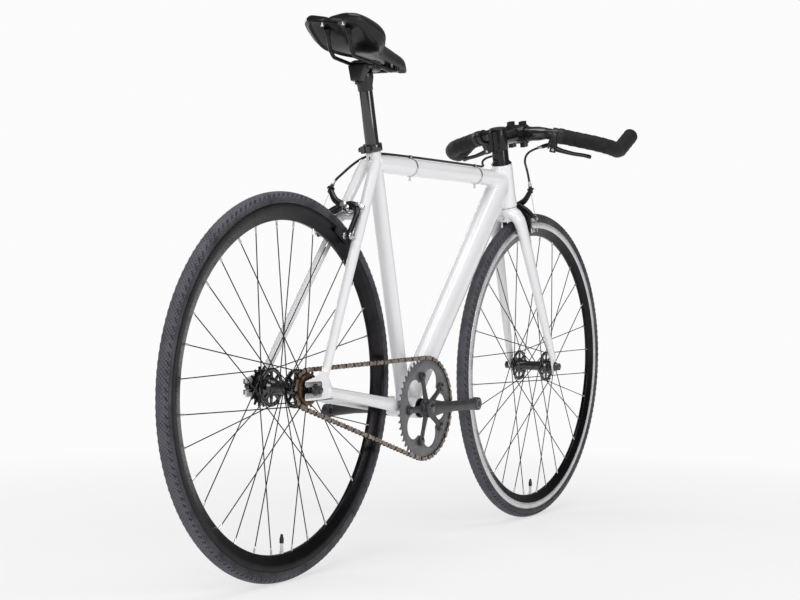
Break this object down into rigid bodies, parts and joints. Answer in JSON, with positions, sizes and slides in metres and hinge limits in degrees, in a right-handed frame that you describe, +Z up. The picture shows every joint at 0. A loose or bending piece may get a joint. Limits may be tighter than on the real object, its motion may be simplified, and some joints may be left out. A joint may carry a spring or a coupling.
{
  "type": "fixed gear bike",
  "caption": "Single-speed track-style bicycle with horizontal top tube, deep down tube, bullhorn bar with interrupter levers, dual-pivot rim brakes, spoked wheels and a taut roller chain.",
  "frame": {"origin": "on the ground under the middle of the wheelbase", "axes": "+X ahead, +Y to the rider's left, +Z up"},
  "size_m": [1.6369, 0.4198, 0.9878],
  "materials": {
    "head_tube": "glossy white paint",
    "top_tube": "glossy white paint",
    "down_tube": "glossy white paint",
    "seat_tube": "glossy white paint",
    "bottom_bracket_shell": "glossy white paint",
    "chainstays": "glossy white paint",
    "seatstays": "glossy white paint",
    "rear_dropouts": "bare or blackened steel",
    "headset_bearings": "bare or blackened steel",
    "bottom_bracket_cartridge": "bare or blackened steel",
    "seat_clamp": "black anodised",
    "rear_axle": "bare or blackened steel",
    "chain": "bare or blackened steel",
    "rear_brake_bolt": "bare or blackened steel",
    "rear_cable_housing": "black plastic",
    "cable_clips": "bare or blackened steel",
    "fork_steerer": "bare or blackened steel",
    "fork_crown": "glossy white paint",
    "fork_blades": "glossy white paint",
    "headset_cover": "black anodised",
    "stem": "black anodised",
    "stem_faceplate": "black anodised",
    "stem_bolts": "bare or blackened steel",
    "handlebar": "black anodised",
    "bar_tape": "matte black",
    "bar_plugs": "black plastic",
    "lever_brackets": "black anodised",
    "front_cable_housing": "black plastic",
    "rear_cable_bar_run": "black plastic",
    "front_brake_bolt": "bare or blackened steel",
    "front_axle": "bare or blackened steel",
    "front_tyre": "matte black rubber",
    "front_rim": "black anodised",
    "front_spokes": "bare or blackened steel",
    "front_hub": "black anodised",
    "front_valve": "black plastic",
    "rear_tyre": "matte black rubber",
    "rear_rim": "black anodised",
    "rear_spokes": "bare or blackened steel",
    "rear_hub": "black anodised",
    "rear_valve": "black plastic",
    "fixed_cog": "bare or blackened steel",
    "freewheel_core": "bare or blackened steel",
    "freewheel_sprocket": "bare or blackened steel",
    "crank_spindle": "bare or blackened steel",
    "right_crank_arm": "black anodised",
    "chainring": "black anodised",
    "crank_bolts": "bare or blackened steel",
    "left_crank_arm": "black anodised",
    "seatpost": "black anodised",
    "saddle_clamp": "black anodised",
    "saddle_rails": "bare or blackened steel",
    "saddle_base": "black plastic",
    "saddle_cover": "matte black",
    "left_brake_lever": "black anodised",
    "right_brake_lever": "black anodised",
    "front_brake_adjuster_arm": "black anodised",
    "front_brake_pinch_arm": "black anodised",
    "rear_brake_adjuster_arm": "black anodised",
    "rear_brake_pinch_arm": "black anodised"
  },
  "bodies": {
    "frame": {"head_tube": "head_tube", "top_tube": "top_tube", "down_tube": "down_tube", "seat_tube": "seat_tube", "bottom_bracket_shell": "bottom_bracket_shell", "chainstays": "chainstays", "seatstays": "seatstays", "rear_dropouts": "rear_dropouts", "headset_bearings": "headset_bearings", "bottom_bracket_cartridge": "bottom_bracket_cartridge", "seat_clamp": "seat_clamp", "rear_axle": "rear_axle", "chain": "chain", "rear_brake_bolt": "rear_brake_bolt", "rear_cable_housing": "rear_cable_housing", "cable_clips": "cable_clips"},
    "steering": {"fork_steerer": "fork_steerer", "fork_crown": "fork_crown", "fork_blades": "fork_blades", "headset_cover": "headset_cover", "stem": "stem", "stem_faceplate": "stem_faceplate", "stem_bolts": "stem_bolts", "handlebar": "handlebar", "bar_tape": "bar_tape", "bar_plugs": "bar_plugs", "lever_brackets": "lever_brackets", "front_cable_housing": "front_cable_housing", "rear_cable_bar_run": "rear_cable_bar_run", "front_brake_bolt": "front_brake_bolt", "front_axle": "front_axle"},
    "front_wheel": {"front_tyre": "front_tyre", "front_rim": "front_rim", "front_spokes": "front_spokes", "front_hub": "front_hub", "front_valve": "front_valve"},
    "rear_wheel": {"rear_tyre": "rear_tyre", "rear_rim": "rear_rim", "rear_spokes": "rear_spokes", "rear_hub": "rear_hub", "rear_valve": "rear_valve", "fixed_cog": "fixed_cog", "freewheel_core": "freewheel_core"},
    "freewheel": {"freewheel_sprocket": "freewheel_sprocket"},
    "crank": {"crank_spindle": "crank_spindle", "right_crank_arm": "right_crank_arm", "chainring": "chainring", "crank_bolts": "crank_bolts", "left_crank_arm": "left_crank_arm"},
    "seat": {"seatpost": "seatpost", "saddle_clamp": "saddle_clamp", "saddle_rails": "saddle_rails", "saddle_base": "saddle_base", "saddle_cover": "saddle_cover"},
    "left_lever": {"left_brake_lever": "left_brake_lever"},
    "right_lever": {"right_brake_lever": "right_brake_lever"},
    "front_adjuster": {"front_brake_adjuster_arm": "front_brake_adjuster_arm"},
    "front_pinch": {"front_brake_pinch_arm": "front_brake_pinch_arm"},
    "rear_adjuster": {"rear_brake_adjuster_arm": "rear_brake_adjuster_arm"},
    "rear_pinch": {"rear_brake_pinch_arm": "rear_brake_pinch_arm"}
  },
  "joints": [
    {"name": "steering", "type": "hinge", "parent": "frame", "child": "steering", "pos_m": [0.31327, 0, 0.77017], "axis": [-0.2756, 0, 0.9613], "range_deg": [-70, 70], "deforming": ["rear_cable_bar_run"]},
    {"name": "front_wheel_spin", "type": "hinge", "parent": "steering", "child": "front_wheel", "pos_m": [0.4825, 0, 0.336], "axis": [0, 1, 0], "continuous": true},
    {"name": "rear_wheel_spin", "type": "hinge", "parent": "frame", "child": "rear_wheel", "pos_m": [-0.4825, 0, 0.336], "axis": [0, 1, 0], "continuous": true},
    {"name": "crank_spin", "type": "hinge", "parent": "frame", "child": "crank", "pos_m": [-0.07254, 0, 0.278], "axis": [0, 1, 0], "continuous": true, "deforming": ["chain"]},
    {"name": "freewheel_spin", "type": "hinge", "parent": "frame", "child": "freewheel", "pos_m": [-0.4825, 0, 0.336], "axis": [0, 1, 0], "continuous": true},
    {"name": "seatpost_slide", "type": "slide", "parent": "frame", "child": "seat", "axis": [-0.2588, 0, 0.9659], "range_m": [-0.06, 0.04]},
    {"name": "left_lever_pull", "type": "hinge", "parent": "steering", "child": "left_lever", "pos_m": [0.40357, 0.07756, 0.8078], "axis": [0.8688, -0.1782, 0.462], "range_deg": [0, 8], "stiffness_Nm_per_rad": 1},
    {"name": "right_lever_pull", "type": "hinge", "parent": "steering", "child": "right_lever", "pos_m": [0.40357, -0.07756, 0.8078], "axis": [-0.8688, -0.1782, -0.462], "range_deg": [0, 8], "stiffness_Nm_per_rad": 1},
    {"name": "front_adjuster_turn", "type": "hinge", "parent": "steering", "child": "front_adjuster", "pos_m": [0.34154, 0, 0.66508], "axis": [0.9192, 0, 0.3937], "range_deg": [0, 1.4], "deforming": ["front_cable_housing"]},
    {"name": "front_pinch_turn", "type": "hinge", "parent": "steering", "child": "front_pinch", "pos_m": [0.33879, 0.024, 0.67152], "axis": [-0.9192, 0, -0.3937], "range_deg": [0, 1.3]},
    {"name": "rear_adjuster_turn", "type": "hinge", "parent": "frame", "child": "rear_adjuster", "pos_m": [-0.27389, 0, 0.63916], "axis": [-0.8238, 0, 0.5669], "range_deg": [0, 1.2], "deforming": ["rear_cable_housing"]},
    {"name": "rear_pinch_turn", "type": "hinge", "parent": "frame", "child": "rear_pinch", "pos_m": [-0.26992, -0.024, 0.64493], "axis": [0.8238, 0, -0.5669], "range_deg": [0, 1.1]}
  ],
  "couplings": [
    {"joint": "freewheel_spin", "follows": "crank_spin", "ratio": 3},
    {"joint": "front_adjuster_turn", "follows": "right_lever_pull", "ratio": 0.175},
    {"joint": "front_pinch_turn", "follows": "right_lever_pull", "ratio": 0.1625},
    {"joint": "rear_adjuster_turn", "follows": "left_lever_pull", "ratio": 0.15},
    {"joint": "rear_pinch_turn", "follows": "left_lever_pull", "ratio": 0.1375}
  ]
}
